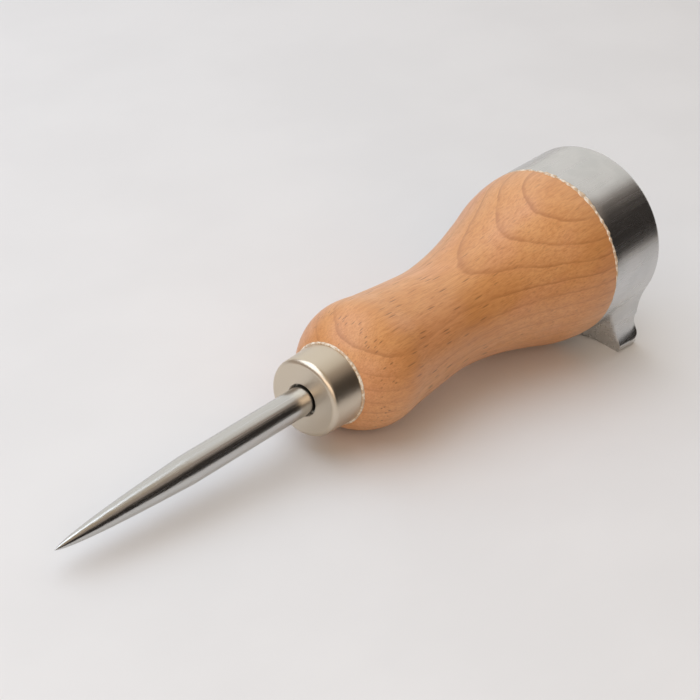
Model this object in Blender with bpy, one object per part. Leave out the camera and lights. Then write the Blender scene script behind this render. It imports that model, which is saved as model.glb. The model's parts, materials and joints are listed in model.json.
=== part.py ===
"""Scratch awl: a round steel spike, a nickel ferrule, a turned beech handle and a steel striking cap.

The awl lies at rest on the ground, z = 0, with its point towards -X and its cap towards +X. It rests on
the handle's front bulge, on the handle's rim beside the cap and on the flat underside of the cap's lug,
so its axis rises a little towards the cap. Every piece is first made about the awl's own axis, along
local +X, with local x = 0 a little behind the ferrule's front. The empty awl_axis then tilts them all.

Lengths are in millimetres until a mesh is made.
"""

import math

import bmesh
import bpy
from mathutils import Vector

MM = 0.001

# Driving dimensions
SHANK_RADIUS = 3.0
SPIKE_REACH = 70.2
TAPER_LENGTH = 35.0
POINT_BLUNTING = 1.5
FERRULE_FRONT = -1.3
FERRULE_REAR = 6.8
FERRULE_LIP_RADIUS = 8.3
FERRULE_REAR_RADIUS = 8.55
CAP_MOUTH = 81.4
CAP_REAR = 98.7
CAP_RADIUS = 19.3

# Turned handle: distance along the axis, and radius
HANDLE_STATIONS = (
    (7.1, 8.9),
    (8.0, 9.8),
    (11.8, 12.2),
    (16.5, 13.5),
    (24.0, 12.85),
    (33.0, 12.1),
    (42.0, 11.7),
    (54.0, 13.15),
    (66.0, 16.1),
    (74.0, 18.45),
    (81.1, CAP_RADIUS),
)
WAIST_STATION = 42.0

# Fits and hidden parts
FIT_GAP = 0.3
SHANK_HOLE_RADIUS = 3.4
FERRULE_WALL = 0.9
FERRULE_LIP_ROUNDING = 1.3
FERRULE_DOME = 0.4
COLLAR_RADIUS = 5.2
COLLAR_THICKNESS = 2.0
CAP_WALL = 2.0
CAP_PLATE = 4.0
CAP_EDGE_ROUNDING = 1.0

# Lug on the striking cap
LUG_FRONT = 90.7
LUG_REAR_SETBACK = 0.4
LUG_FRONT_FLANK = 13.0
LUG_REAR_FLANK = 15.0
LUG_TIP_THICKNESS = 1.7
LUG_TIP_ROUNDING = 0.6
LUG_SWEEP_START = 84.2
LUG_SWEEP_HEIGHT = 9.0
LUG_SWEEP_OVERLAP = 0.1
LUG_CORNER_RADIUS = 2.5
LUG_CORNER_CUT = 1.0
LUG_FAR_FOOT = 1.5
LUG_FAR_ANGLE = math.radians(17)

SEGMENTS = 64
SMOOTH_ANGLE = math.radians(35)


def clear_scene():
    for item in list(bpy.data.objects):
        bpy.data.objects.remove(item)


def finish(name, color, roughness, metallic):
    """A Principled material with the part's colour, roughness and metallic value."""
    material = bpy.data.materials.new(name)
    material.use_nodes = True
    shader = material.node_tree.nodes["Principled BSDF"]
    shader.inputs["Base Color"].default_value = (*color, 1.0)
    shader.inputs["Roughness"].default_value = roughness
    shader.inputs["Metallic"].default_value = metallic
    return material


def add_object(name, mesh, material, axis):
    mesh.materials.append(material)
    mesh.shade_smooth()
    mesh.set_sharp_from_angle(angle=SMOOTH_ANGLE)
    piece = bpy.data.objects.new(name, mesh)
    piece.parent = axis
    bpy.context.collection.objects.link(piece)
    return piece


def turned(name, outline, material, axis):
    """Turn an outline of (distance, radius) points about the awl's axis.

    An outline that starts and ends on the axis makes a solid; any other is closed into a ring.
    """
    shape = bmesh.new()
    points = [shape.verts.new((along * MM, 0.0, radius * MM)) for along, radius in outline]
    edges = [shape.edges.new(pair) for pair in zip(points, points[1:])]
    if outline[0][1] > 0.0:
        edges.append(shape.edges.new((points[-1], points[0])))
    bmesh.ops.spin(
        shape,
        geom=points + edges,
        cent=(0.0, 0.0, 0.0),
        axis=(1.0, 0.0, 0.0),
        angle=math.tau,
        steps=SEGMENTS,
        use_merge=True,
    )
    bmesh.ops.remove_doubles(shape, verts=shape.verts, dist=1e-7)
    bmesh.ops.recalc_face_normals(shape, faces=shape.faces)
    mesh = bpy.data.meshes.new(name)
    shape.to_mesh(mesh)
    shape.free()
    return add_object(name, mesh, material, axis)


def arc(center, radius, start, end, count):
    """Points on an arc; angles are in degrees, from the +X side of the outline's plane."""
    angles = [math.radians(start + (end - start) * i / count) for i in range(count + 1)]
    return [(center[0] + radius * math.cos(a), center[1] + radius * math.sin(a)) for a in angles]


def smooth_curve(stations, per_span):
    """Points on a cubic curve through the stations, with three-point slopes."""
    spans = [(b[1] - a[1]) / (b[0] - a[0]) for a, b in zip(stations, stations[1:])]
    slopes = [spans[0]]
    for left, right in zip(spans, spans[1:]):
        slopes.append((left + right) / 2)
    slopes.append(0.0)
    points = [stations[0]]
    for i in range(len(stations) - 1):
        (x0, y0), (x1, y1) = stations[i], stations[i + 1]
        width = x1 - x0
        for step in range(1, per_span + 1):
            t = step / per_span
            rise = 3 * t * t - 2 * t * t * t
            bend = slopes[i] * t * (1 - t) ** 2 - slopes[i + 1] * t * t * (1 - t)
            points.append((x0 + t * width, y0 + (y1 - y0) * rise + bend * width))
    return points


def support_line():
    """Depth below the axis of the ground that the handle's bulge and rear rim touch.

    It is the line over the turned profile that bridges the waist: of all the chords across the waist,
    the one that passes furthest out. Returned as the depth at x = 0 and its growth per millimetre.
    """
    profile = smooth_curve(HANDLE_STATIONS, 6) + [(CAP_MOUTH, CAP_RADIUS)]
    front = [p for p in profile if p[0] < WAIST_STATION]
    rear = [p for p in profile if p[0] > WAIST_STATION]
    chords = []
    for x0, y0 in front:
        for x1, y1 in rear:
            slope = (y1 - y0) / (x1 - x0)
            chords.append((y0 + slope * (WAIST_STATION - x0), slope))
    depth_at_waist, slope = max(chords)
    return depth_at_waist - slope * WAIST_STATION, slope


def taper_radius(from_point):
    """Radius of the ground point: a cone at its very end that swells into a slim ogive."""
    part = from_point / TAPER_LENGTH
    swell = math.sqrt((TAPER_LENGTH + POINT_BLUNTING) / (from_point + POINT_BLUNTING))
    return SHANK_RADIUS * part * swell


def spike(material, axis):
    taper = [i * i * TAPER_LENGTH / 144 for i in range(13)]
    collar_front = FERRULE_FRONT + FERRULE_WALL + FIT_GAP
    collar_rear = collar_front + COLLAR_THICKNESS
    tang_end = CAP_REAR - CAP_PLATE - FIT_GAP
    outline = [(d - SPIKE_REACH, taper_radius(d)) for d in taper]
    outline += [
        (collar_front, SHANK_RADIUS),
        (collar_front, COLLAR_RADIUS),
        (collar_rear, COLLAR_RADIUS),
        (collar_rear, SHANK_RADIUS),
        (tang_end - 1.0, SHANK_RADIUS),
        (tang_end, SHANK_RADIUS - 1.0),
        (tang_end, 0.0),
    ]
    return turned("spike", outline, material, axis)


def ferrule(material, axis):
    lip = FERRULE_LIP_ROUNDING
    inner = FERRULE_LIP_RADIUS - FERRULE_WALL
    floor = FERRULE_FRONT + FERRULE_WALL
    outline = [(FERRULE_FRONT - FERRULE_DOME, SHANK_HOLE_RADIUS)]
    outline += arc((FERRULE_FRONT + lip, FERRULE_LIP_RADIUS - lip), lip, 180, 90, 6)
    outline += [
        (FERRULE_REAR, FERRULE_REAR_RADIUS),
        (FERRULE_REAR, FERRULE_REAR_RADIUS - FERRULE_WALL),
        (floor + 0.8, inner),
        (floor, inner - 0.8),
        (floor, SHANK_HOLE_RADIUS),
    ]
    return turned("ferrule", outline, material, axis)


def handle(material, axis):
    front_tenon = FERRULE_LIP_RADIUS - FERRULE_WALL - FIT_GAP
    tenon_front = FERRULE_FRONT + FERRULE_WALL + FIT_GAP
    recess = COLLAR_RADIUS + FIT_GAP
    recess_floor = tenon_front + COLLAR_THICKNESS + FIT_GAP
    bore = SHANK_RADIUS + FIT_GAP
    rear_tenon = CAP_RADIUS - CAP_WALL - FIT_GAP
    tenon_rear = CAP_REAR - CAP_PLATE - FIT_GAP
    outline = [
        (recess_floor, bore),
        (recess_floor, recess),
        (tenon_front, recess),
        (tenon_front, front_tenon - 1.0),
        (tenon_front + 1.0, front_tenon),
        (HANDLE_STATIONS[0][0], front_tenon),
    ]
    outline += smooth_curve(HANDLE_STATIONS, 3)
    outline += [
        (HANDLE_STATIONS[-1][0], rear_tenon),
        (tenon_rear, rear_tenon),
        (tenon_rear, bore),
    ]
    return turned("handle", outline, material, axis)


def cap_body(material, axis):
    inner = CAP_RADIUS - CAP_WALL
    edge = CAP_EDGE_ROUNDING
    outline = [(CAP_REAR - CAP_PLATE, 0.0), (CAP_REAR - CAP_PLATE, inner), (CAP_MOUTH, inner)]
    outline.append((CAP_MOUTH, CAP_RADIUS))
    outline += arc((CAP_REAR - edge, CAP_RADIUS - edge), edge, 90, 0, 5)
    outline.append((CAP_REAR, 0.0))
    return turned("striking_cap", outline, material, axis)


def flank_center(tip_y, tip_z, flank_radius):
    """Centre of the arc that touches the cap's round side from outside and ends at the lug's tip."""
    tip_distance = math.hypot(tip_y, tip_z)
    center_distance = CAP_RADIUS + flank_radius
    towards_tip = (center_distance ** 2 - flank_radius ** 2 + tip_distance ** 2) / (2 * tip_distance)
    aside = math.sqrt(center_distance ** 2 - towards_tip ** 2)
    unit_y, unit_z = tip_y / tip_distance, tip_z / tip_distance
    return towards_tip * unit_y + aside * unit_z, towards_tip * unit_z - aside * unit_y


def lug_section(along, depth):
    """The lug across the axis at one distance along it, as (y, z) points about the axis.

    The underside is flat, at the given depth. The flank is a hollow arc that leaves the cap's round
    side and flares out to a thin tip; it opens up from the lug's front to its rear, where the tip's
    corner is rounded off. Ahead of its front the lug sweeps down to the cap's round side.
    """
    rear = CAP_REAR - LUG_REAR_SETBACK
    t = max(0.0, along - LUG_FRONT) / (rear - LUG_FRONT)
    flank_radius = LUG_FRONT_FLANK * (1 - t) + LUG_REAR_FLANK * t
    center_y, center_z = flank_center(-CAP_RADIUS, LUG_TIP_THICKNESS - depth, flank_radius)
    into_corner = max(0.0, along - (rear - LUG_CORNER_RADIUS)) / LUG_CORNER_RADIUS
    tip = CAP_RADIUS - LUG_CORNER_CUT * (1 - math.sqrt(1 - into_corner ** 2))

    wall = CAP_RADIUS - CAP_WALL / 2
    meets_cap = math.atan2(-center_z, -center_y)
    lowest = math.acos((-center_y - tip) / flank_radius)
    flat = tip - LUG_TIP_ROUNDING + LUG_FAR_FOOT
    points = [(wall * math.sin(LUG_FAR_ANGLE), -wall * math.cos(LUG_FAR_ANGLE))]
    points += [(LUG_FAR_FOOT - flat * i / 6, -depth) for i in range(7)]
    points.append((-tip, LUG_TIP_ROUNDING - depth))
    points += arc((center_y, center_z), flank_radius, -math.degrees(lowest), math.degrees(meets_cap), 12)
    points += arc((0.0, 0.0), wall, 180 + math.degrees(meets_cap), 270, 8)
    if along < LUG_FRONT:
        reach = CAP_RADIUS + sweep_height(along)
        points = [drawn_in(point, reach) for point in points]
    return points


def sweep_height(along):
    """How far the lug's hollow front stands out of the cap's round side, at one distance along it."""
    t = (along - LUG_SWEEP_START) / (LUG_FRONT - LUG_SWEEP_START)
    return LUG_SWEEP_HEIGHT * (1 - math.sqrt(1 - t * t)) - LUG_SWEEP_OVERLAP


def drawn_in(point, reach):
    """The point, or where it comes to when it is drawn in to lie no further from the axis than reach."""
    share = min(1.0, reach / math.hypot(*point))
    return point[0] * share, point[1] * share


def lug(material, axis):
    """The lug as a closed loft of its sections; it is joined to the cap and isn't a piece itself."""
    rear = CAP_REAR - LUG_REAR_SETBACK
    corner = rear - LUG_CORNER_RADIUS
    sweep = LUG_FRONT - LUG_SWEEP_START
    stations = [LUG_SWEEP_START + sweep * math.sin(math.radians(15 * i)) for i in range(6)]
    stations += [LUG_FRONT + (corner - LUG_FRONT) * i / 4 for i in range(4)]
    stations += [corner + LUG_CORNER_RADIUS * math.sin(math.radians(15 * i)) for i in range(7)]
    start, growth = support_line()
    shape = bmesh.new()
    rings = []
    for along in stations:
        section = lug_section(along, start + growth * along)
        rings.append([shape.verts.new((along * MM, y * MM, z * MM)) for y, z in section])
    for ring, following in zip(rings, rings[1:]):
        for i in range(len(ring)):
            j = (i + 1) % len(ring)
            shape.faces.new((ring[i], ring[j], following[j], following[i]))
    for end in (rings[0], rings[-1]):
        shape.faces.new(end)
    shape.normal_update()
    bmesh.ops.triangulate(shape, faces=[face for face in shape.faces if len(face.verts) > 4])
    bmesh.ops.recalc_face_normals(shape, faces=shape.faces)
    mesh = bpy.data.meshes.new("lug_form")
    shape.to_mesh(mesh)
    shape.free()
    form = add_object("lug_form", mesh, material, axis)
    form.hide_render = True
    form.display_type = "WIRE"
    return form


def striking_cap(material, axis):
    cap = cap_body(material, axis)
    union = cap.modifiers.new("lug", "BOOLEAN")
    union.operation = "UNION"
    union.object = lug(material, axis)
    return cap


def set_down(axis, pieces):
    """Lower the awl onto z = 0 and centre its bounding box on the origin."""
    bpy.context.view_layer.update()
    graph = bpy.context.evaluated_depsgraph_get()
    corners = []
    for piece in pieces:
        shown = piece.evaluated_get(graph)
        corners += [shown.matrix_world @ vertex.co for vertex in shown.data.vertices]
    low = Vector([min(c[i] for c in corners) for i in range(3)])
    high = Vector([max(c[i] for c in corners) for i in range(3)])
    axis.location = (-(low.x + high.x) / 2, -(low.y + high.y) / 2, -low.z)


def build():
    clear_scene()
    polished_steel = finish("polished_steel", (0.56, 0.56, 0.57), 0.18, 1.0)
    satin_nickel = finish("satin_nickel", (0.66, 0.62, 0.56), 0.3, 1.0)
    beech = finish("beech", (0.62, 0.35, 0.18), 0.45, 0.0)
    satin_steel = finish("satin_steel", (0.58, 0.58, 0.58), 0.35, 1.0)

    axis = bpy.data.objects.new("awl_axis", None)
    bpy.context.collection.objects.link(axis)
    axis.rotation_euler = (0.0, -math.atan(support_line()[1]), 0.0)
    pieces = [
        spike(polished_steel, axis),
        ferrule(satin_nickel, axis),
        handle(beech, axis),
        striking_cap(satin_steel, axis),
    ]
    set_down(axis, pieces)


build()
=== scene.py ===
"""Looks of the scratch awl: turned beech, polished spike, satin nickel ferrule and brushed striking cap.

Every visible piece is built about the awl's own axis, in millimetres, with x = 0 a little behind the
ferrule's front and +x towards the cap. The axis comes from the record's striking_face mount.
"""

import json
import math

import bmesh
import bpy
from mathutils import Matrix, Vector, noise


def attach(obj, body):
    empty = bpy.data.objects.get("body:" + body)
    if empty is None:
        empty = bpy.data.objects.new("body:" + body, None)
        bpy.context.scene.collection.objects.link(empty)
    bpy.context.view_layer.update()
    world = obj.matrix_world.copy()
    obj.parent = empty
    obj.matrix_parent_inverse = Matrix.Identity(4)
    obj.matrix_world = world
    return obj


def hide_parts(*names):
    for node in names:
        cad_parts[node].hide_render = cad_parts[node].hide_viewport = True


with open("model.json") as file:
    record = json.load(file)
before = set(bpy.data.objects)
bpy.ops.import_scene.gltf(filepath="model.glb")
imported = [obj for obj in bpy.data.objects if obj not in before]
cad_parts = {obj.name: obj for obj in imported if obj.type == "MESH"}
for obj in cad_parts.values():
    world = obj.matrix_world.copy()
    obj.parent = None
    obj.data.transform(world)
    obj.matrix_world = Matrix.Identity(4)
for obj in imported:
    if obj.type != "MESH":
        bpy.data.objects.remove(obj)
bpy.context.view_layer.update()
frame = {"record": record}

MM = 0.001

# The awl's shape, as in the CAD; the lug's rear flank, flare and corner are a little finer here
SHANK_RADIUS = 3.0
SPIKE_REACH = 70.2
TAPER_LENGTH = 35.0
POINT_BLUNTING = 1.5
FERRULE_FRONT = -1.3
FERRULE_REAR = 6.8
FERRULE_DOME = 0.4
FERRULE_LIP_RADIUS = 8.3
FERRULE_REAR_RADIUS = 8.55
FERRULE_WALL = 0.9
FERRULE_LIP_ROUNDING = 1.3
FERRULE_CORNER = 0.8
FERRULE_HOLE_EDGE = 0.15
FERRULE_REAR_EDGE = 0.1
SHANK_HOLE_RADIUS = 3.4
COLLAR_RADIUS = 5.2
COLLAR_THICKNESS = 2.0
TANG_CHAMFER = 1.0
CAP_MOUTH = 81.4
CAP_REAR = 98.7
CAP_RADIUS = 19.3
CAP_WALL = 2.0
CAP_PLATE = 4.0
CAP_EDGE_ROUNDING = 1.0
FIT_GAP = 0.3
HANDLE_STATIONS = (
    (7.1, 8.9),
    (8.0, 9.8),
    (11.8, 12.2),
    (16.5, 13.5),
    (24.0, 12.85),
    (33.0, 12.1),
    (42.0, 11.7),
    (54.0, 13.15),
    (66.0, 16.1),
    (74.0, 18.45),
    (81.1, CAP_RADIUS),
)
LUG_FRONT = 90.7
LUG_REAR_SETBACK = 0.4
LUG_FRONT_FLANK = 13.0
LUG_REAR_FLANK = 18.0
LUG_TIP_THICKNESS = 1.7
LUG_TIP_ROUNDING = 0.6
LUG_FLARE = 0.55
LUG_FLARE_REACH = 5.5
LUG_SWEEP_START = 84.2
LUG_SWEEP_HEIGHT = 9.0
LUG_EDGE_ROUNDING = 0.45
LUG_CORNER_RADIUS = 2.5
LUG_CORNER_CUT = 0.6
LUG_FAR_FOOT = 1.5
LUG_FAR_ANGLE = math.radians(17)
CAP_MOUTH_ROUNDING = 0.25
CAP_ROUND_POINTS = 220
SWEEP_BLEND = 5
GLUE_POINTS = 720

# Beech: growth rings lie nearly flat, turned a little about the awl's axis, and dip towards the front
RING_TURN = math.radians(7.3)
RING_SPACING = 2.75
RING_DIP_START = 45.0
RING_DIP = 0.025
RING_STEEP_HEIGHT = 9.0
RING_STEEPENING = 0.37
WOOD_PALE = (0.75, 0.375, 0.15, 1.0)
WOOD_WARM = (0.67, 0.30, 0.095, 1.0)
WOOD_PINK = (0.72, 0.335, 0.165, 1.0)
WOOD_DEEP = (0.56, 0.22, 0.065, 1.0)
WOOD_LINE = (0.38, 0.13, 0.035, 1.0)
WOOD_FLECK = (0.20, 0.07, 0.02, 1.0)

# Surroundings
ROOM = (0.38, 0.31, 0.26, 1.0)
WALL = (0.92, 0.90, 0.86, 1.0)
DARK_WALL = (0.03, 0.025, 0.022, 1.0)
CEILING = (0.50, 0.39, 0.26, 1.0)
FLOOR_HALF = 1.5
CAMERA_LENS = 125.5
CAMERA_PLACE = Vector((-0.35973, -0.21591, 0.26665))
CAMERA_TARGET = Vector((-0.00328, 0.00014, 0.01875))
CAMERA_ROLL = math.radians(13.99)


def awl_matrix():
    """Local awl frame, in millimetres, to world metres."""
    mounts = {mount["name"]: mount for mount in frame["record"]["mounts"]}
    face = mounts["striking_face"]
    along = Vector(face["axis"]).normalized()
    across = Vector((0.0, 1.0, 0.0))
    up = along.cross(across)
    origin = Vector(face["pos_m"]) - along * CAP_REAR * MM
    matrix = Matrix((along, across, up)).transposed().to_4x4()
    matrix.translation = origin
    return matrix


AWL = awl_matrix()


def smooth_curve(stations, per_span):
    """Points on a cubic curve through the stations, with three-point slopes."""
    spans = [(b[1] - a[1]) / (b[0] - a[0]) for a, b in zip(stations, stations[1:])]
    slopes = [spans[0]]
    for left, right in zip(spans, spans[1:]):
        slopes.append((left + right) / 2)
    slopes.append(0.0)
    points = [stations[0]]
    for i in range(len(stations) - 1):
        (x0, y0), (x1, y1) = stations[i], stations[i + 1]
        width = x1 - x0
        for step in range(1, per_span + 1):
            t = step / per_span
            rise = 3 * t * t - 2 * t * t * t
            bend = slopes[i] * t * (1 - t) ** 2 - slopes[i + 1] * t * t * (1 - t)
            points.append((x0 + t * width, y0 + (y1 - y0) * rise + bend * width))
    return points


def arc(center, radius, start, end, count):
    angles = [math.radians(start + (end - start) * i / count) for i in range(count + 1)]
    return [(center[0] + radius * math.cos(a), center[1] + radius * math.sin(a)) for a in angles]


def ring_mesh(name, rings, close_start=None, close_end=None, closed=False):
    """A skin over rings of (x, y, z) points, in millimetres; the ends close on a point or join up."""
    verts = [tuple(c * MM for c in point) for ring in rings for point in ring]
    count = len(rings[0])
    faces = []
    pairs = list(zip(range(len(rings)), range(1, len(rings))))
    if closed:
        pairs.append((len(rings) - 1, 0))
    for a, b in pairs:
        for i in range(count):
            j = (i + 1) % count
            faces.append((a * count + i, a * count + j, b * count + j, b * count + i))
    for tip, base in ((close_start, 0), (close_end, (len(rings) - 1) * count)):
        if tip is not None:
            verts.append(tuple(c * MM for c in tip))
            top = len(verts) - 1
            faces += [(base + i, base + (i + 1) % count, top) for i in range(count)]
    mesh = bpy.data.meshes.new(name)
    mesh.from_pydata(verts, [], faces)
    shape = bmesh.new()
    shape.from_mesh(mesh)
    bmesh.ops.remove_doubles(shape, verts=shape.verts, dist=1e-7)
    bmesh.ops.recalc_face_normals(shape, faces=shape.faces)
    shape.to_mesh(mesh)
    shape.free()
    return mesh


def circle(along, radius, count):
    angles = [math.tau * i / count for i in range(count)]
    return [(along, radius * math.sin(a), radius * math.cos(a)) for a in angles]


def add_piece(name, mesh, material, replaced=None, sharp=35):
    mesh.materials.append(material)
    mesh.shade_smooth()
    mesh.set_sharp_from_angle(angle=math.radians(sharp))
    piece = bpy.data.objects.new(name, mesh)
    bpy.context.scene.collection.objects.link(piece)
    piece.matrix_world = AWL
    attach(piece, "root")
    if replaced:
        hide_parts(replaced)
    return piece


def turned_mesh(name, outline, count):
    """Turns (distance, radius) points; an outline from axis to axis makes a solid, any other a ring."""
    if outline[0][1] > 0:
        return ring_mesh(name, [circle(x, r, count) for x, r in outline], closed=True)
    rings = [circle(x, r, count) for x, r in outline[1:-1]]
    start = (outline[0][0], 0.0, 0.0)
    end = (outline[-1][0], 0.0, 0.0)
    return ring_mesh(name, rings, start, end)


class Shader:
    """A material's node tree, with short ways to add its nodes."""

    def __init__(self, name):
        self.material = bpy.data.materials.new(name)
        self.material.use_nodes = True
        self.tree = self.material.node_tree
        self.principled = self.tree.nodes["Principled BSDF"]
        self.place = self.add("ShaderNodeTexCoord").outputs["Object"]

    def add(self, kind, **settings):
        node = self.tree.nodes.new(kind)
        for key, value in settings.items():
            setattr(node, key, value)
        return node

    def wire(self, source, socket):
        if isinstance(source, (int, float, tuple)):
            socket.default_value = source
        else:
            self.tree.links.new(source, socket)

    def set(self, **values):
        for name, value in values.items():
            self.wire(value, self.principled.inputs[name.replace("_", " ")])

    def math(self, operation, a, b=0.0, c=0.0):
        node = self.add("ShaderNodeMath", operation=operation)
        for socket, value in zip(node.inputs, (a, b, c)):
            self.wire(value, socket)
        return node.outputs[0]

    def ramp(self, value, low, high, to_low=0.0, to_high=1.0):
        node = self.add("ShaderNodeMapRange")
        node.interpolation_type = "SMOOTHSTEP"
        for socket, entry in zip(node.inputs, (value, low, high, to_low, to_high)):
            self.wire(entry, socket)
        return node.outputs[0]

    def scaled(self, scale, location=(0.0, 0.0, 0.0)):
        """Object coordinates in millimetres, times scale."""
        node = self.add("ShaderNodeMapping")
        self.wire(self.place, node.inputs["Vector"])
        node.inputs["Scale"].default_value = tuple(s / MM for s in scale)
        node.inputs["Location"].default_value = location
        return node.outputs[0]

    def noise(self, vector, detail=2.0, roughness=0.5):
        node = self.add("ShaderNodeTexNoise")
        self.wire(vector, node.inputs["Vector"])
        for name, value in (("Scale", 1.0), ("Detail", detail), ("Roughness", roughness)):
            node.inputs[name].default_value = value
        return node.outputs["Fac"]

    def mix(self, factor, a, b):
        node = self.add("ShaderNodeMix", data_type="RGBA")
        self.wire(factor, node.inputs[0])
        self.wire(a, node.inputs[6])
        self.wire(b, node.inputs[7])
        return node.outputs[2]

    def bump(self, height, distance, strength):
        node = self.add("ShaderNodeBump")
        node.inputs["Strength"].default_value = strength
        node.inputs["Distance"].default_value = distance
        self.wire(height, node.inputs["Height"])
        return node.outputs[0]


def axis_parts(shader):
    """Distance along the axis and the two coordinates across it, in millimetres."""
    split = shader.add("ShaderNodeSeparateXYZ")
    shader.wire(shader.scaled((1.0, 1.0, 1.0)), split.inputs[0])
    return split.outputs


def ring_level(shader, along, height):
    """Which growth ring a point lies in: its height in the board, less the rings' dip and waver."""
    ahead = shader.math("MAXIMUM", shader.math("SUBTRACT", RING_DIP_START, along), 0.0)
    high = shader.math("MAXIMUM", shader.math("SUBTRACT", height, RING_STEEP_HEIGHT), 0.0)
    steeper = shader.math("MULTIPLY_ADD", high, RING_STEEPENING, 1.0)
    dip = shader.math("MULTIPLY", shader.math("MULTIPLY", ahead, RING_DIP), steeper)
    sway = shader.noise(shader.scaled((0.06, 0.11, 0.11)), detail=1.0)
    waver = shader.noise(shader.scaled((0.5, 0.5, 0.5)), detail=2.0)
    level = shader.math("SUBTRACT", height, dip)
    level = shader.math("ADD", level, shader.math("MULTIPLY_ADD", sway, 1.1, -0.55))
    return shader.math("ADD", level, shader.math("MULTIPLY_ADD", waver, 0.26, -0.13))


def ring_line(shader, along, level, cycle):
    """The dark late-wood line at the end of each ring, fainter in the waist and low on the sides."""
    line = shader.math("MAXIMUM", shader.ramp(cycle, 0.0, 0.17, 1.0, 0.0), shader.ramp(cycle, 0.955, 1.0))
    vary = shader.noise(shader.scaled((0.12, 0.25, 0.25)), detail=2.0)
    line = shader.math("MULTIPLY", line, shader.ramp(vary, 0.3, 0.6, 0.35, 1.0))
    ends = shader.math("MAXIMUM", shader.ramp(along, 28, 46, 0.3, 1.0), shader.ramp(along, 17, 12, 0.3, 1.0))
    return shader.math("MULTIPLY", line, shader.math("MULTIPLY", ends, shader.ramp(level, 3, 9, 0.45, 1.0)))


def flecks(shader, place, size, gap, share, spread):
    """Spindle-shaped ray flecks: short along the grain, deep into the ring, thin across."""
    joined = shader.add("ShaderNodeCombineXYZ")
    for socket, value, scale in zip(joined.inputs, place, size):
        shader.wire(shader.math("DIVIDE", value, scale), socket)
    cells = shader.add("ShaderNodeTexVoronoi", feature="F1")
    shader.wire(joined.outputs[0], cells.inputs["Vector"])
    cells.inputs["Scale"].default_value = 1.0
    pick = shader.add("ShaderNodeSeparateColor")
    shader.wire(cells.outputs["Color"], pick.inputs[0])
    near = shader.ramp(cells.outputs["Distance"], gap, gap + spread, 1.0, 0.0)
    return shader.math("MULTIPLY", near, shader.ramp(pick.outputs[0], 1 - share, 1 - share + 0.15))


def beech():
    """Flat-sawn beech: thin late-wood lines on nearly flat growth rings, ray flecks and fine fibres."""
    shader = Shader("beech")
    along, across_y, across_z = axis_parts(shader)
    turn_y, turn_z = -math.sin(RING_TURN), math.cos(RING_TURN)
    height = shader.math("MULTIPLY_ADD", across_y, turn_y, shader.math("MULTIPLY", across_z, turn_z))
    width = shader.math("MULTIPLY_ADD", across_y, turn_z, shader.math("MULTIPLY", across_z, -turn_y))
    level = ring_level(shader, along, height)
    cycle = shader.math("FRACT", shader.math("MULTIPLY_ADD", level, 1 / RING_SPACING, -0.27))
    line = ring_line(shader, along, level, cycle)
    band = shader.ramp(cycle, 0.0, 0.55, 1.0, 0.0)

    place = (along, width, height)
    dash = flecks(shader, place, (6.5, 0.5, 0.9), 0.12, 0.5, 0.2)
    dash = shader.math("MULTIPLY", dash, shader.ramp(along, 62, 42, 0.35, 1.0))
    fine_dash = flecks(shader, place, (3.4, 0.3, 0.5), 0.08, 0.55, 0.3)
    fiber = shader.noise(shader.scaled((0.07, 1.9, 1.9)), detail=4.0, roughness=0.65)
    hair = shader.noise(shader.scaled((0.2, 4.5, 4.5)), detail=3.0, roughness=0.6)
    patch = shader.noise(shader.scaled((0.035, 0.1, 0.1)), detail=2.0)
    blush = shader.noise(shader.scaled((0.06, 0.13, 0.13), location=(3.1, 1.7, 0.4)), detail=1.0)

    color = shader.mix(shader.ramp(patch, 0.3, 0.7), WOOD_PALE, WOOD_WARM)
    color = shader.mix(shader.math("MULTIPLY", shader.ramp(blush, 0.45, 0.75), 0.55), color, WOOD_PINK)
    color = shader.mix(shader.math("MULTIPLY", shader.ramp(fiber, 0.38, 0.68), 0.5), color, WOOD_DEEP)
    color = shader.mix(shader.math("MULTIPLY", shader.ramp(hair, 0.42, 0.7), 0.3), color, WOOD_LINE)
    color = shader.mix(shader.math("MULTIPLY", band, 0.12), color, WOOD_LINE)
    color = shader.mix(shader.math("MULTIPLY", line, 0.5), color, WOOD_LINE)
    color = shader.mix(shader.math("MULTIPLY", fine_dash, 0.35), color, WOOD_LINE)
    color = shader.mix(shader.math("MULTIPLY", dash, 0.62), color, WOOD_FLECK)
    shader.set(Base_Color=color, Metallic=0.0, Coat_Weight=0.4, Coat_Roughness=0.36)
    shader.set(Roughness=shader.ramp(fiber, 0.3, 0.8, 0.4, 0.5))
    relief = shader.math("MULTIPLY_ADD", dash, -0.7, shader.math("MULTIPLY", fiber, 0.5))
    relief = shader.math("ADD", relief, shader.math("MULTIPLY", hair, 0.25))
    shader.set(Normal=shader.bump(relief, 0.00005, 0.5))
    return shader.material


def polished_steel():
    shader = Shader("polished_steel")
    grain = shader.noise(shader.scaled((0.05, 5.0, 5.0)), detail=3.0)
    shader.set(Base_Color=(0.57, 0.565, 0.55, 1.0), Metallic=1.0)
    shader.set(Roughness=shader.ramp(grain, 0.3, 0.7, 0.18, 0.28))
    shader.set(Normal=shader.bump(grain, 0.00003, 0.45))
    return shader.material


def satin_nickel():
    shader = Shader("satin_nickel")
    grain = shader.noise(shader.scaled((2.0, 0.3, 0.3)), detail=3.0)
    around = shader.add("ShaderNodeTangent", direction_type="RADIAL", axis="X")
    shader.set(Base_Color=(0.66, 0.58, 0.47, 1.0), Metallic=1.0, Anisotropic=0.45)
    shader.set(Roughness=shader.ramp(grain, 0.3, 0.7, 0.28, 0.32), Tangent=around.outputs[0])
    return shader.material


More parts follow.
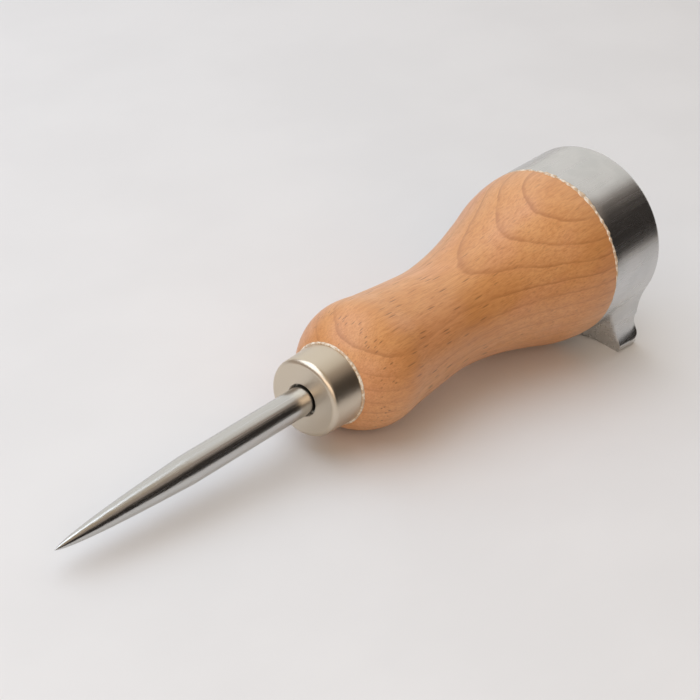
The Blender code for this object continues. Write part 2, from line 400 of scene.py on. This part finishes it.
def brushed_steel():
    shader = Shader("brushed_steel")
    grain = shader.noise(shader.scaled((0.05, 1.5, 1.5)), detail=3.0, roughness=0.5)
    cloud = shader.noise(shader.scaled((0.2, 0.2, 0.2)), detail=2.0)
    color = shader.mix(shader.ramp(cloud, 0.35, 0.65), (0.57, 0.57, 0.565, 1.0), (0.61, 0.605, 0.60, 1.0))
    shader.set(Base_Color=color, Metallic=1.0)
    shader.set(Roughness=shader.ramp(grain, 0.3, 0.7, 0.24, 0.28))
    shader.set(Normal=shader.bump(grain, 0.00001, 0.05))
    return shader.material


# Pale cream bead colour: dried glue at the ferrule, and on the cap's mouth partly a painted highlight.
def pale_glue_and_highlight():
    shader = Shader("pale_glue_and_highlight")
    grain = shader.noise(shader.scaled((1.2, 1.2, 1.2)), detail=3.0)
    color = shader.mix(shader.ramp(grain, 0.42, 0.62), (0.60, 0.44, 0.29, 1.0), (0.86, 0.79, 0.67, 1.0))
    shader.set(Base_Color=color, Roughness=0.5)
    return shader.material


def paper():
    shader = Shader("paper")
    tooth = shader.noise(shader.scaled((0.6, 0.6, 0.6)), detail=4.0)
    cloud = shader.noise(shader.scaled((0.02, 0.035, 0.03)), detail=3.0)
    color = shader.mix(shader.ramp(cloud, 0.35, 0.65), (0.775, 0.775, 0.78, 1.0), (0.795, 0.795, 0.80, 1.0))
    shader.set(Base_Color=color, Roughness=0.9)
    shader.set(Normal=shader.bump(tooth, 0.0001, 0.15))
    return shader.material


def taper_radius(from_point):
    part = from_point / TAPER_LENGTH
    swell = math.sqrt((TAPER_LENGTH + POINT_BLUNTING) / (from_point + POINT_BLUNTING))
    return SHANK_RADIUS * part * swell


def spike():
    taper = [i * i * TAPER_LENGTH / 80 ** 2 for i in range(81)]
    outline = [(d - SPIKE_REACH, taper_radius(d)) for d in taper]
    tang_end = CAP_REAR - CAP_PLATE - FIT_GAP
    front = FERRULE_FRONT + FERRULE_WALL + FIT_GAP
    rear = front + COLLAR_THICKNESS
    outline += [(front, SHANK_RADIUS), (front, COLLAR_RADIUS), (rear, COLLAR_RADIUS), (rear, SHANK_RADIUS)]
    outline += [
        (tang_end - TANG_CHAMFER, SHANK_RADIUS),
        (tang_end, SHANK_RADIUS - TANG_CHAMFER),
        (tang_end, 0.0),
    ]
    mesh = turned_mesh("spike_blade", outline, 96)
    add_piece("spike_blade", mesh, polished_steel(), "spike")


def ferrule():
    lip = FERRULE_LIP_ROUNDING
    inner = FERRULE_LIP_RADIUS - FERRULE_WALL
    floor = FERRULE_FRONT + FERRULE_WALL
    flat = FERRULE_LIP_RADIUS - lip
    edge = FERRULE_HOLE_EDGE
    reach = flat - SHANK_HOLE_RADIUS
    outline = [(FERRULE_FRONT - FERRULE_DOME + edge, SHANK_HOLE_RADIUS)]
    for i in range(12):
        radius = SHANK_HOLE_RADIUS + edge + (reach - edge) * i / 12
        bulge = FERRULE_DOME * (1 - (radius - SHANK_HOLE_RADIUS) / reach)
        outline.append((FERRULE_FRONT - bulge, radius))
    outline += arc((FERRULE_FRONT + lip, flat), lip, 180, 90, 16)
    outline += [
        (FERRULE_REAR - FERRULE_REAR_EDGE, FERRULE_REAR_RADIUS),
        (FERRULE_REAR, FERRULE_REAR_RADIUS - FERRULE_REAR_EDGE),
        (FERRULE_REAR, FERRULE_REAR_RADIUS - FERRULE_WALL),
        (floor + FERRULE_CORNER, inner),
        (floor, inner - FERRULE_CORNER),
        (floor, SHANK_HOLE_RADIUS),
    ]
    mesh = turned_mesh("ferrule_cup", outline, 160)
    add_piece("ferrule_cup", mesh, satin_nickel(), "ferrule")


def handle():
    front_tenon = FERRULE_LIP_RADIUS - FERRULE_WALL - FIT_GAP
    bore = SHANK_RADIUS + FIT_GAP
    rear_tenon = CAP_RADIUS - CAP_WALL - FIT_GAP
    tenon_rear = CAP_REAR - CAP_PLATE - FIT_GAP
    tenon = FERRULE_FRONT + FERRULE_WALL + FIT_GAP
    recess = COLLAR_RADIUS + FIT_GAP
    recess_floor = tenon + COLLAR_THICKNESS + FIT_GAP
    outline = [(recess_floor, bore), (recess_floor, recess), (tenon, recess), (tenon, front_tenon)]
    outline.append((HANDLE_STATIONS[0][0], front_tenon))
    outline += smooth_curve(HANDLE_STATIONS, 16)
    outline += [(HANDLE_STATIONS[-1][0], rear_tenon), (tenon_rear, rear_tenon), (tenon_rear, bore)]
    mesh = turned_mesh("turned_handle", outline, 192)
    add_piece("turned_handle", mesh, beech(), "handle")


def flank_center(tip_y, tip_z, flank_radius, cap_radius):
    """Centre of the arc that touches the cap's round side from outside and ends at the lug's tip."""
    tip_distance = math.hypot(tip_y, tip_z)
    center_distance = cap_radius + flank_radius
    towards_tip = (center_distance ** 2 - flank_radius ** 2 + tip_distance ** 2) / (2 * tip_distance)
    aside = math.sqrt(center_distance ** 2 - towards_tip ** 2)
    unit_y, unit_z = tip_y / tip_distance, tip_z / tip_distance
    return towards_tip * unit_y + aside * unit_z, towards_tip * unit_z - aside * unit_y


def segment(start, end, count):
    """Points from start towards end, without the end."""
    return [
        (start[0] + (end[0] - start[0]) * i / count, start[1] + (end[1] - start[1]) * i / count)
        for i in range(count)
    ]


def lug_depth(along):
    """How far below the axis the floor lies, in millimetres; the lug's underside is flat on it."""
    return (AWL.translation.z / MM + along * AWL[2][0]) / AWL[2][2]


def lug_edge(along, cap_radius):
    """The lug's outline across the axis, from its far foot under the cap round to where its flank
    meets the cap, as (angle, radius) pairs about the axis."""
    rear = CAP_REAR - LUG_REAR_SETBACK
    depth = lug_depth(along)
    t = max(0.0, along - LUG_FRONT) / (rear - LUG_FRONT)
    flank_radius = LUG_FRONT_FLANK * (1 - t) + LUG_REAR_FLANK * t
    center_y, center_z = flank_center(-CAP_RADIUS, LUG_TIP_THICKNESS - depth, flank_radius, cap_radius)
    into_corner = max(0.0, along - (rear - LUG_CORNER_RADIUS)) / LUG_CORNER_RADIUS
    tip = CAP_RADIUS - LUG_CORNER_CUT * (1 - math.sqrt(max(0.0, 1 - into_corner ** 2)))
    meets_cap = math.atan2(-center_z, -center_y)
    lowest = math.acos((-center_y - tip) / flank_radius)
    tip_round = LUG_TIP_ROUNDING

    foot = (cap_radius * math.sin(LUG_FAR_ANGLE), -cap_radius * math.cos(LUG_FAR_ANGLE))
    points = segment(foot, (LUG_FAR_FOOT, -depth), 10)
    points += segment((LUG_FAR_FOOT, -depth), (tip_round - tip, -depth), 30)
    points += arc((tip_round - tip, tip_round - depth), tip_round, 270, 180, 6)
    flank = arc((center_y, center_z), flank_radius, -math.degrees(lowest), math.degrees(meets_cap), 72)
    for y, z in flank:
        share = min(1.0, (z - flank[0][1]) / LUG_FLARE_REACH)
        points.append((y + LUG_FLARE * t * math.sin(math.pi * share), z))
    return [(math.atan2(z, y) % math.tau, max(cap_radius, math.hypot(y, z))) for y, z in points]


def cap_skin_radius(along):
    """Radius of the cap's round side, which rounds over at both its ends."""
    from_rear = CAP_REAR - along
    if from_rear < CAP_EDGE_ROUNDING:
        edge = CAP_EDGE_ROUNDING
        return CAP_RADIUS - edge + math.sqrt(max(0.0, edge ** 2 - (edge - from_rear) ** 2))
    from_mouth = along - CAP_MOUTH
    if from_mouth < CAP_MOUTH_ROUNDING:
        edge = CAP_MOUTH_ROUNDING
        return CAP_RADIUS - edge + math.sqrt(max(0.0, edge ** 2 - (edge - from_mouth) ** 2))
    return CAP_RADIUS


def cap_ring(along, angles, radii, round_radius):
    """A ring of the cap: the lug's angles and radii, then round_radius over the rest of the circle."""
    start, end = angles[-1], angles[0] - math.tau
    rest = [start + (end - start) * i / CAP_ROUND_POINTS for i in range(1, CAP_ROUND_POINTS)]
    places = list(zip(angles, radii)) + [(a, round_radius) for a in rest]
    return [(along, r * math.cos(a), r * math.sin(a)) for a, r in places]


def round_ring(along, angles, radius):
    return cap_ring(along, angles, [radius] * len(angles), radius)


def quarter(count):
    return [math.radians(90) * i / count for i in range(count + 1)]


def sweep_height(along):
    """How far the lug's hollow front stands out of the cap's round side; no limit behind the front."""
    t = (along - LUG_SWEEP_START) / (LUG_FRONT - LUG_SWEEP_START)
    return LUG_SWEEP_HEIGHT * (1 - math.sqrt(max(0.0, 1 - t * t))) if t < 1 else 10 * LUG_SWEEP_HEIGHT


def soft_minimum(a, b):
    """The smaller of two heights, rounded over where they cross."""
    if min(a, b) <= 0:
        return 0.0
    return a * b / (a ** SWEEP_BLEND + b ** SWEEP_BLEND) ** (1 / SWEEP_BLEND)


def lug_outline(along):
    """The lug's angles and radii; ahead of its front it sweeps down to the cap's round side."""
    skin = cap_skin_radius(along)
    line = lug_edge(along, skin)
    limit = sweep_height(along)
    return [a for a, r in line], [skin + soft_minimum(r - skin, limit) for a, r in line]


def mouth_rings(angles):
    """The inside of the cup and its rounded mouth."""
    inner = CAP_RADIUS - CAP_WALL
    rings = [round_ring(along, angles, inner) for along in (CAP_REAR - CAP_PLATE, CAP_MOUTH)]
    for turn in quarter(5):
        along = CAP_MOUTH + CAP_MOUTH_ROUNDING * (1 - math.cos(turn))
        rings.append(round_ring(along, angles, cap_skin_radius(along)))
    return rings


def lug_rings():
    """The cap's side with the lug on it, as far as the lug's rounded rear edge."""
    start, rear = LUG_SWEEP_START, CAP_REAR - LUG_REAR_SETBACK
    edge = LUG_EDGE_ROUNDING
    bend = rear - LUG_CORNER_RADIUS
    stations = [start + (LUG_FRONT - start) * math.sin(turn) for turn in quarter(40)]
    stations += [LUG_FRONT + (bend - LUG_FRONT) * i / 8 for i in range(1, 8)]
    stations += [bend + (LUG_CORNER_RADIUS - edge) * i / 12 for i in range(12)]
    rings = [cap_ring(along, *lug_outline(along), cap_skin_radius(along)) for along in stations]
    for turn in quarter(8):
        along = rear - edge + edge * math.sin(turn)
        angles, radii = lug_outline(along)
        skin = cap_skin_radius(along)
        radii = [r - min(edge, 0.35 * (r - skin)) * (1 - math.cos(turn)) for r in radii]
        rings.append(cap_ring(along, angles, radii, skin))
    return rings, angles


def rear_rings(angles):
    """From the lug's rear face over the cap's edge and onto the striking face."""
    rings = []
    for turn in quarter(8):
        along = CAP_REAR - LUG_REAR_SETBACK * (1 - math.sin(turn))
        rings.append(round_ring(along, angles, cap_skin_radius(along)))
    face = CAP_RADIUS - CAP_EDGE_ROUNDING
    return rings + [round_ring(CAP_REAR, angles, face * share) for share in (0.75, 0.5, 0.25)]


def striking_cap():
    """The cap and its lug in one skin, from the bottom of the cup round to the striking face."""
    side, rear_angles = lug_rings()
    rings = mouth_rings(lug_outline(LUG_SWEEP_START)[0]) + side + rear_rings(rear_angles)
    mesh = ring_mesh("cap_and_lug", rings, (CAP_REAR - CAP_PLATE, 0.0, 0.0), (CAP_REAR, 0.0, 0.0))
    add_piece("cap_and_lug", mesh, brushed_steel(), "striking_cap")


def glue_and_highlight_bead(name, along, radius, width, proud, uneven, fade, material, seed):
    """An uneven pale bead round a joint: dried glue, and on the cap's mouth also a painted highlight along
    the top of the edge; fade is how far it thins out away from the top.
    """
    rings = []
    for i in range(GLUE_POINTS):
        a = math.tau * i / GLUE_POINTS
        place = Vector((math.cos(a), math.sin(a), seed))
        coarse = noise.noise(place * 4)
        fine = noise.noise(place * 22)
        side = min(1.0, max(0.0, 2.0 * math.cos(a + math.radians(20)) - 0.6))
        thick = max(0.1, (1 - fade * (1 - side)) * (1 + uneven * (0.9 * coarse + fine)))
        shift = 0.4 * uneven * width * noise.noise(place * 9)
        ring = []
        for k in range(8):
            b = math.tau * k / 8
            x = along + shift + 0.5 * width * thick * math.cos(b)
            r = radius + proud * thick * math.sin(b)
            ring.append((x, r * math.sin(a), r * math.cos(a)))
        rings.append(ring)
    mesh = ring_mesh(name, rings, closed=True)
    add_piece(name, mesh, material, sharp=80)


def camera():
    data = bpy.data.cameras.new("camera")
    data.lens = CAMERA_LENS
    data.sensor_width = 36.0
    view = bpy.data.objects.new("camera", data)
    bpy.context.scene.collection.objects.link(view)
    aim = (CAMERA_TARGET - CAMERA_PLACE).to_track_quat("-Z", "Y").to_matrix().to_4x4()
    roll = Matrix.Rotation(CAMERA_ROLL, 4, "Z")
    view.matrix_world = Matrix.Translation(CAMERA_PLACE) @ aim @ roll
    bpy.context.scene.camera = view


def floor():
    mesh = bpy.data.meshes.new("paper")
    corners = [(FLOOR_HALF * x, FLOOR_HALF * y, 0) for x, y in ((-1, -1), (1, -1), (1, 1), (-1, 1))]
    mesh.from_pydata(corners, [], [(0, 1, 2, 3)])
    mesh.materials.append(paper())
    sheet = bpy.data.objects.new("paper", mesh)
    bpy.context.scene.collection.objects.link(sheet)


def soft_lamp(name, azimuth, elevation, distance, size, radiance, color):
    """A rectangle of even light that faces the awl."""
    data = bpy.data.lights.new(name, "AREA")
    data.shape = "RECTANGLE"
    data.size, data.size_y = size
    data.energy = radiance * math.pi * size[0] * size[1]
    data.color = color
    lamp = bpy.data.objects.new(name, data)
    bpy.context.scene.collection.objects.link(lamp)
    a, e = math.radians(azimuth), math.radians(elevation)
    back = Vector((math.cos(a) * math.cos(e), math.sin(a) * math.cos(e), math.sin(e)))
    lamp.location = back * distance
    lamp.rotation_euler = back.to_track_quat("Z", "Y").to_euler()


def lamps():
    """A large window on the left, near enough to fade across the paper, and a warm lamp in front."""
    soft_lamp("window", 126, 60, 0.8, (1.1, 0.8), 1.75, (0.87, 1.0, 1.16))
    soft_lamp("warm_lamp", 219, 34, 1.0, (1.2, 0.5), 1.1, (1.36, 1.12, 0.88))


def room():
    """Plain surroundings: a grey room with one pale wall, one dark wall and a dim ceiling."""
    world = bpy.data.worlds.new("room")
    bpy.context.scene.world = world
    world.use_nodes = True
    tree = world.node_tree
    background = tree.nodes["Background"]

    def wire(source, socket):
        if isinstance(source, (int, float, tuple)):
            socket.default_value = source
        else:
            tree.links.new(source, socket)

    def math_node(operation, a, b=0.0):
        node = tree.nodes.new("ShaderNodeMath")
        node.operation = operation
        wire(a, node.inputs[0])
        wire(b, node.inputs[1])
        return node.outputs[0]

    def ramp(value, low, high, to_low=0.0, to_high=1.0):
        node = tree.nodes.new("ShaderNodeMapRange")
        node.interpolation_type = "SMOOTHSTEP"
        for socket, entry in zip(node.inputs, (value, low, high, to_low, to_high)):
            wire(entry, socket)
        return node.outputs[0]

    def mix(factor, a, b):
        node = tree.nodes.new("ShaderNodeMix")
        node.data_type = "RGBA"
        wire(factor, node.inputs[0])
        wire(a, node.inputs[6])
        wire(b, node.inputs[7])
        return node.outputs[2]

    coord = tree.nodes.new("ShaderNodeTexCoord")
    split = tree.nodes.new("ShaderNodeSeparateXYZ")
    wire(coord.outputs["Generated"], split.inputs[0])
    x, y, z = split.outputs
    azimuth = math_node("MULTIPLY", math_node("ARCTAN2", y, x), math.degrees(1))
    elevation = math_node("MULTIPLY", math_node("ARCSINE", z), math.degrees(1))

    def patch(left, right, low, high, soft):
        """1 inside a window of azimuths and elevations, with soft edges."""
        across = math_node("MULTIPLY", ramp(azimuth, left - soft, left), ramp(azimuth, right + soft, right))
        upright = math_node("MULTIPLY", ramp(elevation, low - soft, low), ramp(elevation, high + soft, high))
        return math_node("MULTIPLY", across, upright)

    color = mix(patch(-6, 66, -90, 60, 14), ROOM, WALL)
    color = mix(patch(-100, -18, -90, 37, 12), color, DARK_WALL)
    color = mix(ramp(elevation, 55, 66), color, CEILING)
    wire(color, background.inputs["Color"])
    background.inputs["Strength"].default_value = 1.0


bpy.context.scene.view_settings.view_transform = "Standard"
camera()
floor()
lamps()
room()
spike()
ferrule()
handle()
striking_cap()
pale = pale_glue_and_highlight()
glue_and_highlight_bead(
    "ferrule_glue_line",
    along=7.0, radius=8.58, width=0.8, proud=0.34, uneven=0.14, fade=0.0, material=pale, seed=1.7,
)
# The cap's bead is partly dried glue and partly a painted highlight: its pale colour, kept to the top of the
# mouth edge, stands in for light caught by the cap's edge.
glue_and_highlight_bead(
    "cap_glue_and_highlight_line",
    along=81.25, radius=19.25, width=0.9, proud=0.34, uneven=0.7, fade=0.95, material=pale, seed=5.2,
)
